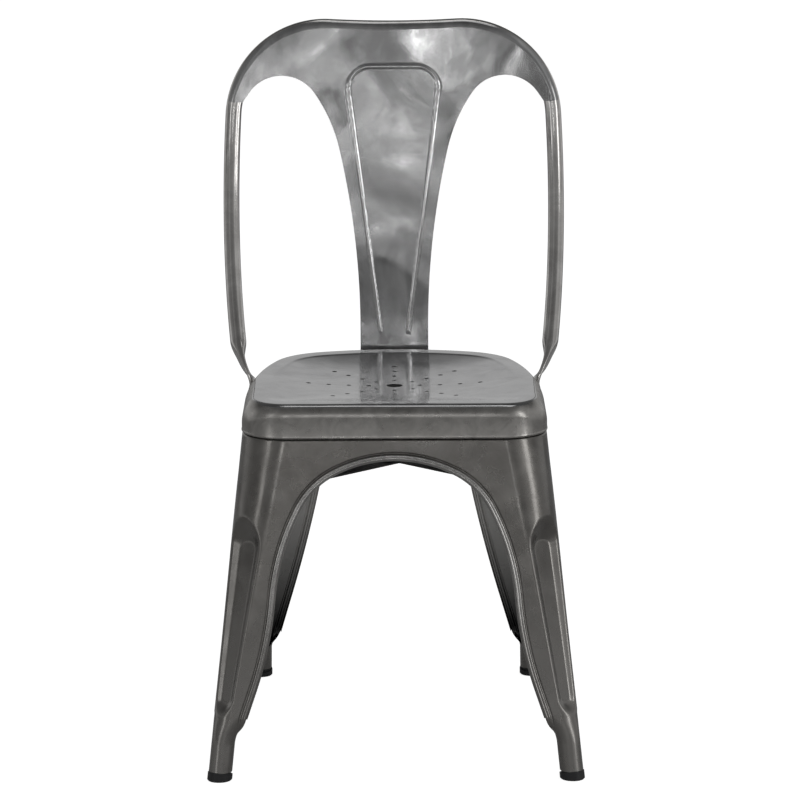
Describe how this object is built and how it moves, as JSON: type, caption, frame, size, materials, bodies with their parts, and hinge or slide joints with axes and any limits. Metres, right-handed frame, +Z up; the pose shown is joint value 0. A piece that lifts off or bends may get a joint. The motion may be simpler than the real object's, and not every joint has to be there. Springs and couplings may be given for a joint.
{
  "type": "metal bistro chair",
  "caption": "Stacking side chair of pressed steel: dished seat with a drain, flared sheet legs cut by arches, and a tube hoop back with a waisted centre splat.",
  "frame": {"origin": "on the floor, midway between the four feet", "axes": "+Z up, -Y towards the front of the seat, +X to the right of someone who looks at the front"},
  "size_m": [0.4484, 0.4966, 0.851],
  "materials": {
    "seat_steel": "clear lacquered raw steel, glossy",
    "frame_steel": "clear lacquered raw steel, glossy",
    "back_steel": "clear lacquered raw steel, glossy",
    "tube_steel": "clear lacquered raw steel, glossy",
    "brace_steel": "dark, satin",
    "bolt_black": "black, satin",
    "zinc": "zinc plated",
    "foot_black": "black, fine texture"
  },
  "bodies": {
    "root": {"seat_pan": "seat_steel", "leg_front_right": "frame_steel", "leg_front_left": "frame_steel", "leg_rear_right": "frame_steel", "leg_rear_left": "frame_steel", "foot_cap_front_right": "foot_black", "foot_cap_front_left": "foot_black", "foot_cap_rear_right": "foot_black", "foot_cap_rear_left": "foot_black", "cross_brace_lower": "brace_steel", "cross_brace_upper": "brace_steel", "brace_rivet": "brace_steel", "back_hoop": "tube_steel", "back_splat": "back_steel", "hoop_bolt_right": "bolt_black", "hoop_bolt_left": "bolt_black", "splat_bolts": "bolt_black", "hoop_washer_right": "zinc", "hoop_washer_left": "zinc", "hoop_nut_right": "zinc", "hoop_nut_left": "zinc", "splat_washers": "zinc", "splat_nuts": "zinc"}
  },
  "joints": []
}
